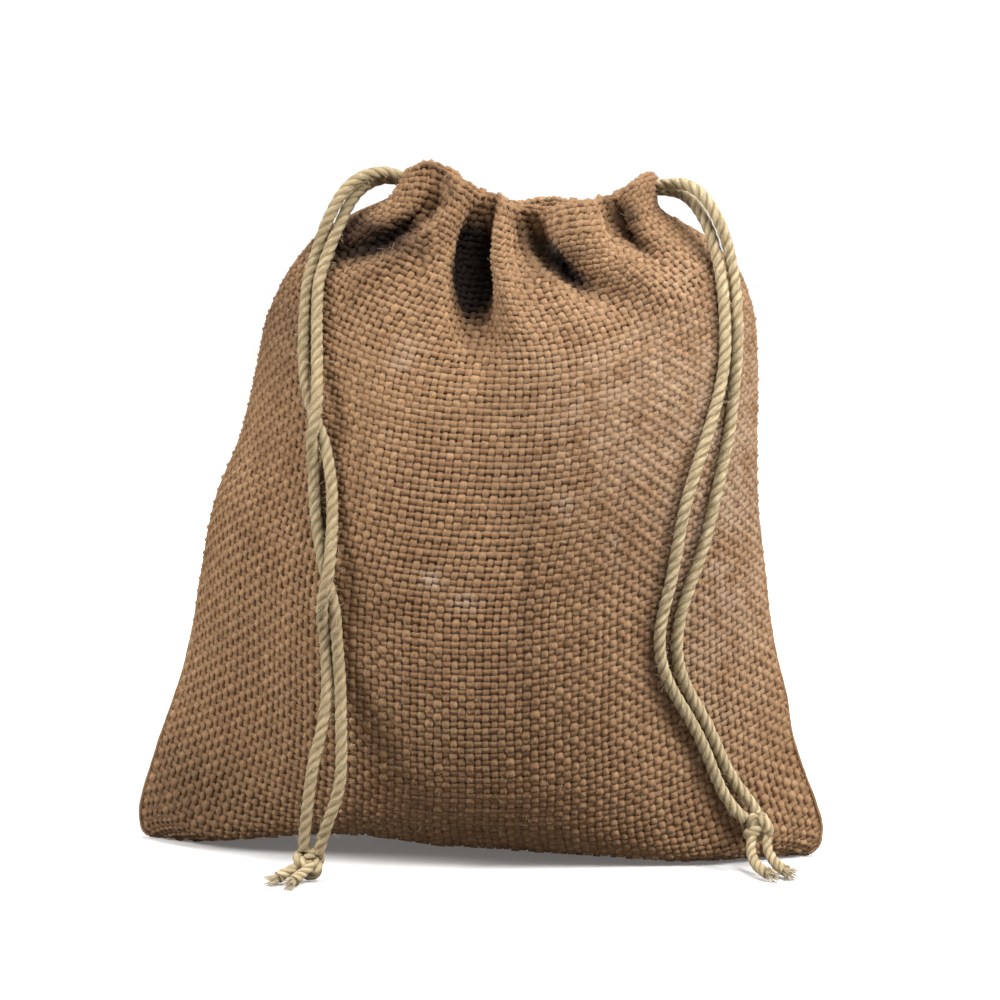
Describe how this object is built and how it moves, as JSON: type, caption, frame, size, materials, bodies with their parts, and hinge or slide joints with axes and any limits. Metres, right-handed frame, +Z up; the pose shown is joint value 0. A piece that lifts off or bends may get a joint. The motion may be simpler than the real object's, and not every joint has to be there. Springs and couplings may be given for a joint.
{
  "type": "drawstring sack",
  "caption": "Small coarse burlap drawstring sack, stuffed and standing, with a pleated gathered mouth and knotted twine drawcords hanging down the front.",
  "frame": {"origin": "middle of the sack's extent on the floor that it stands on, without its cords", "axes": "+Z up, front towards -Y, +X to the right seen from the front"},
  "size_m": [0.1924, 0.0992, 0.1887],
  "materials": {
    "burlap": "coarse plain weave, matte",
    "jute_cord": "twisted jute twine, matte, fuzzy"
  },
  "bodies": {
    "root": {"sack": "burlap", "cord_left_front": "jute_cord", "cord_left_back": "jute_cord", "cord_right_inner": "jute_cord", "cord_right_outer": "jute_cord", "knot_left": "jute_cord", "knot_right": "jute_cord"}
  },
  "joints": []
}
